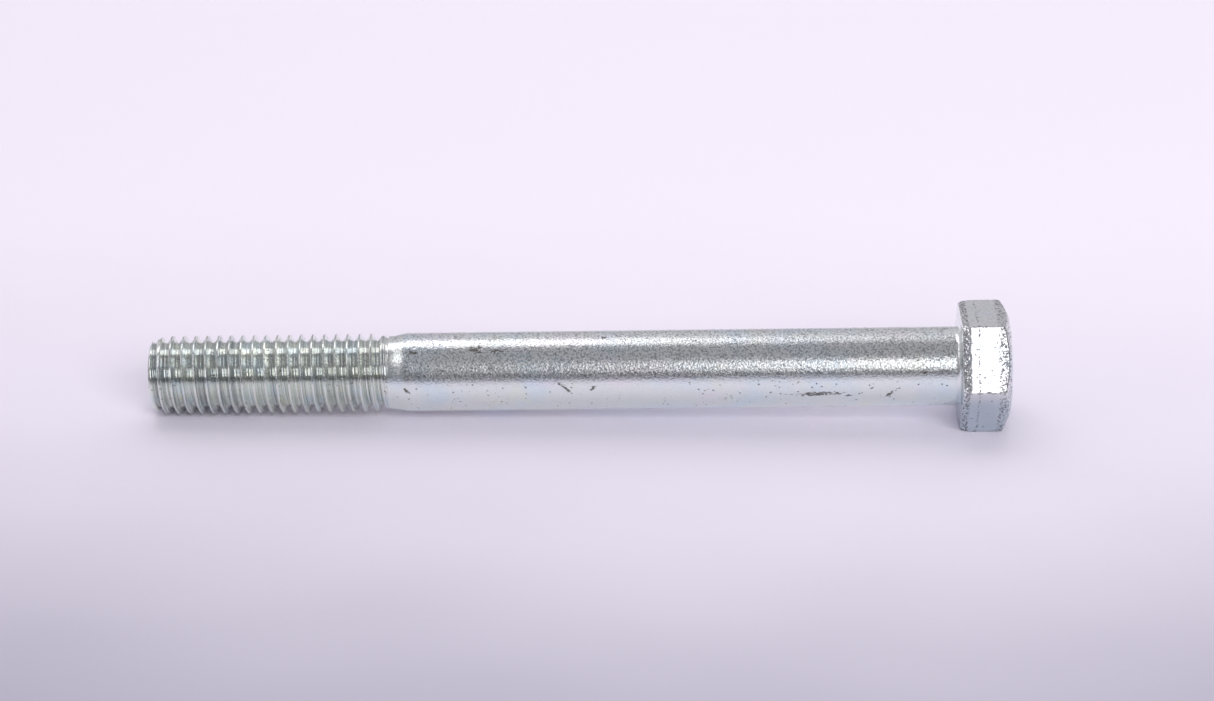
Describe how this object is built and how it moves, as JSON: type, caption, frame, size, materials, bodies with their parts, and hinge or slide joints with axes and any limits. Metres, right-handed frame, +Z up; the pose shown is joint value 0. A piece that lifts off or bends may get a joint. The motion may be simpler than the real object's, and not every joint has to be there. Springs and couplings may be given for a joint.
{
  "type": "hex bolt",
  "caption": "Partly threaded hexagon head bolt with a plain shank, a tapered neck and a chamfered point, zinc plated steel.",
  "frame": {"origin": "centre of the head's bearing face, on the bolt's axis", "axes": "+X along the bolt's axis from the point to the head, +Z up with one flat of the hexagon facing down, +Y away from the viewer"},
  "size_m": [0.1274, 0.0196, 0.017],
  "materials": {
    "zinc_plate": "bright zinc plate with a clear bluish passivate, finely grained, with small pits and scuffs",
    "zinc_thread": "bright zinc plate on a rolled thread, slightly darker in the roots"
  },
  "bodies": {
    "root": {"hex_head": "zinc_plate", "shank": "zinc_plate", "neck_taper": "zinc_plate", "thread": "zinc_thread", "point": "zinc_thread"}
  },
  "joints": []
}
